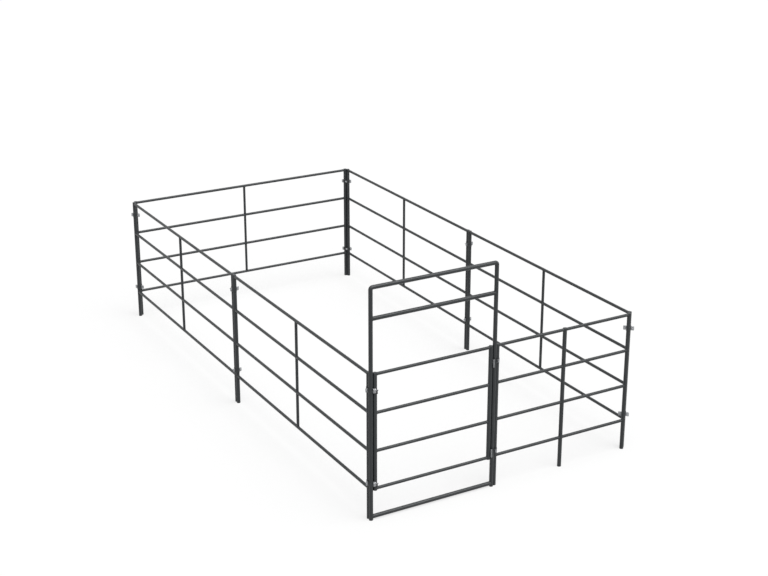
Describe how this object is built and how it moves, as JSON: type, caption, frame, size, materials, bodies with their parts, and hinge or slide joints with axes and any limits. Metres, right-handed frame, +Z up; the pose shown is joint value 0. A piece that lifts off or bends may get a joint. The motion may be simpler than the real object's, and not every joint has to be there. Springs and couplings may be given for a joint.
{
  "type": "horse stall",
  "caption": "Portable horse stall: welded tube rail panels clamped post to post into a rectangular pen, with a tall ride-through frame, a hinged rail gate and slide-bolt latches.",
  "frame": {"origin": "middle of the pen's footprint, on the ground", "axes": "+Z up, +Y to the rear wall, so the front with the gate faces -Y; +X to the right seen from the front"},
  "size_m": [3.1458, 6.1694, 2.3876],
  "materials": {
    "charcoal_coat": "semi-gloss charcoal powder coat on welded steel tube",
    "clamp_steel": "charcoal coated strap with zinc plated ears, bolts and nuts",
    "zinc_plate": "zinc plated steel, satin",
    "pin_steel": "blackened steel"
  },
  "bodies": {
    "pen": {"bow_frame": "charcoal_coat", "clamp_front_corner_lower_bolt_half": "clamp_steel", "clamp_front_corner_lower_nut_half": "clamp_steel", "clamp_front_corner_upper_bolt_half": "clamp_steel", "clamp_front_corner_upper_nut_half": "clamp_steel", "clamp_gate_left_lower_bolt_half": "clamp_steel", "clamp_gate_left_lower_nut_half": "clamp_steel", "clamp_gate_left_upper_bolt_half": "clamp_steel", "clamp_gate_left_upper_nut_half": "clamp_steel", "clamp_gate_right_lower_bolt_half": "clamp_steel", "clamp_gate_right_lower_nut_half": "clamp_steel", "clamp_gate_right_upper_bolt_half": "clamp_steel", "clamp_gate_right_upper_nut_half": "clamp_steel", "clamp_left_1_lower_bolt_half": "clamp_steel", "clamp_left_1_lower_nut_half": "clamp_steel", "clamp_left_1_upper_bolt_half": "clamp_steel", "clamp_left_1_upper_nut_half": "clamp_steel", "clamp_rear_left_lower_bolt_half": "clamp_steel", "clamp_rear_left_lower_nut_half": "clamp_steel", "clamp_rear_left_upper_bolt_half": "clamp_steel", "clamp_rear_left_upper_nut_half": "clamp_steel", "clamp_rear_right_lower_bolt_half": "clamp_steel", "clamp_rear_right_lower_nut_half": "clamp_steel", "clamp_rear_right_upper_bolt_half": "clamp_steel", "clamp_rear_right_upper_nut_half": "clamp_steel", "clamp_right_1_lower_bolt_half": "clamp_steel", "clamp_right_1_lower_nut_half": "clamp_steel", "clamp_right_1_upper_bolt_half": "clamp_steel", "clamp_right_1_upper_nut_half": "clamp_steel", "hinge_lower_frame_knuckle": "zinc_plate", "hinge_lower_pin": "pin_steel", "hinge_upper_frame_knuckle": "zinc_plate", "hinge_upper_pin": "pin_steel", "latch_lower_keeper": "zinc_plate", "latch_upper_keeper": "zinc_plate", "panel_front": "charcoal_coat", "panel_left_1": "charcoal_coat", "panel_left_2": "charcoal_coat", "panel_rear": "charcoal_coat", "panel_right_1": "charcoal_coat", "panel_right_2": "charcoal_coat"},
    "gate": {"gate_frame": "charcoal_coat", "hinge_lower_gate_knuckle": "zinc_plate", "hinge_upper_gate_knuckle": "zinc_plate", "latch_lower_guide": "zinc_plate", "latch_upper_guide": "zinc_plate"},
    "latch_upper_bolt": {"latch_upper_bolt": "pin_steel"},
    "latch_lower_bolt": {"latch_lower_bolt": "pin_steel"}
  },
  "joints": [
    {"name": "gate_hinge", "type": "hinge", "parent": "pen", "child": "gate", "pos_m": [-0.18139, -3.06925, 1.3536], "axis": [0, 0, 1], "range_deg": [0, 150]},
    {"name": "latch_upper_slide", "type": "slide", "parent": "gate", "child": "latch_upper_bolt", "axis": [-1, 0, 0], "range_m": [0, 0.014]},
    {"name": "latch_lower_slide", "type": "slide", "parent": "gate", "child": "latch_lower_bolt", "axis": [-1, 0, 0], "range_m": [0, 0.014]}
  ]
}
